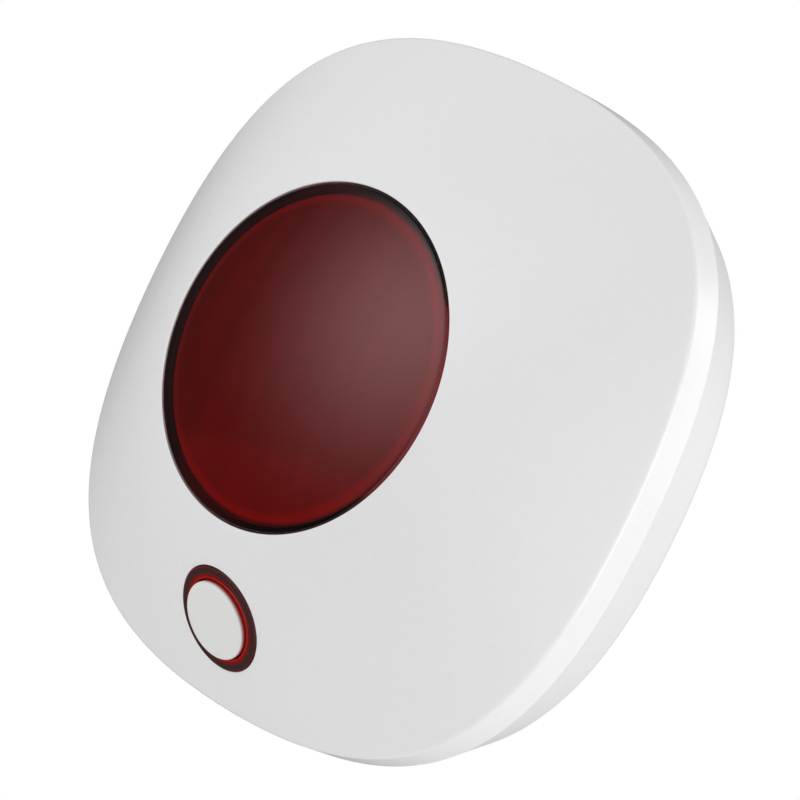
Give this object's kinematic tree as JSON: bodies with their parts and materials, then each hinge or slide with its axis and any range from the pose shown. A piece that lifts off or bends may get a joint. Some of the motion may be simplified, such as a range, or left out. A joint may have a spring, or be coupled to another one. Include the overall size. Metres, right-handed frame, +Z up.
{
  "type": "strobe siren",
  "caption": "Domed wall-mounted strobe siren: rounded-square white case, round red strobe lens and a push button in a red light ring.",
  "frame": {"origin": "centre of the flat back face, on the wall", "axes": "+Z up, +Y into the wall, -Y out of the front"},
  "size_m": [0.12, 0.0491, 0.12],
  "materials": {
    "white_gloss": "gloss",
    "white_rear": "semi-gloss",
    "white_cap": "satin",
    "red_clear": "clear gloss",
    "red_ring": "clear gloss",
    "frosted": "frosted",
    "reflector_white": "gloss",
    "zinc_steel": "zinc plated",
    "board_green": "solder mask",
    "board_blue": "solder mask",
    "led_yellow": "gloss",
    "black_plastic": "moulded",
    "copper_wire": "enamelled",
    "ferrite": "sintered",
    "can_aluminium": "satin",
    "cream_plastic": "moulded",
    "black_foam": "foam",
    "brass_disc": "rolled",
    "ceramic_disc": "silvered",
    "battery_wrap": "foil pouch",
    "contact_metal": "nickel plated",
    "switch_steel": "tin plated",
    "pin_plastic": "moulded",
    "lead_red": "extruded"
  },
  "bodies": {
    "housing": {"front_shell": "white_gloss", "rear_shell": "white_rear", "strobe_lens": "red_clear", "light_ring": "red_ring", "strobe_diffuser": "frosted", "strobe_reflector": "reflector_white", "reflector_screws": "zinc_steel", "strobe_board_screws": "zinc_steel", "button_board_screws": "zinc_steel", "case_screws": "zinc_steel", "main_board_screws": "zinc_steel", "strobe_board": "board_green", "button_board": "board_green", "main_board": "board_green", "radio_module": "board_blue", "strobe_leds": "led_yellow", "status_leds": "led_yellow", "tact_switch": "black_plastic", "control_chip": "black_plastic", "antenna": "copper_wire", "drive_coil": "ferrite", "capacitors": "can_aluminium", "wire_headers": "cream_plastic", "siren_housing": "black_plastic", "siren_gasket": "black_foam", "siren_back_cover": "black_plastic", "piezo_plate": "brass_disc", "piezo_ceramic": "ceramic_disc", "backup_battery": "battery_wrap", "battery_foam": "black_foam", "dc_jack": "black_plastic", "dc_jack_pin": "contact_metal", "power_switch": "switch_steel", "tamper_switch": "black_plastic", "battery_lead": "lead_red", "siren_lead": "lead_red", "strobe_lead": "lead_red", "button_lead": "lead_red"},
    "button": {"button_cap": "white_cap", "tact_plunger": "black_plastic"},
    "switch_knob": {"power_switch_knob": "black_plastic"},
    "tamper_pin": {"tamper_plunger": "pin_plastic"}
  },
  "joints": [
    {"name": "button_press", "type": "slide", "parent": "housing", "child": "button", "axis": [0, 0.8061, 0.5918], "range_m": [0, 0.0008], "stiffness_N_per_m": 1500, "springref_m": -0.0003},
    {"name": "power_switch_slide", "type": "slide", "parent": "housing", "child": "switch_knob", "axis": [1, 0, 0], "range_m": [0, 0.002]},
    {"name": "tamper_press", "type": "slide", "parent": "housing", "child": "tamper_pin", "axis": [0, -1, 0], "range_m": [0, 0.0012], "stiffness_N_per_m": 500, "springref_m": -0.0003}
  ]
}
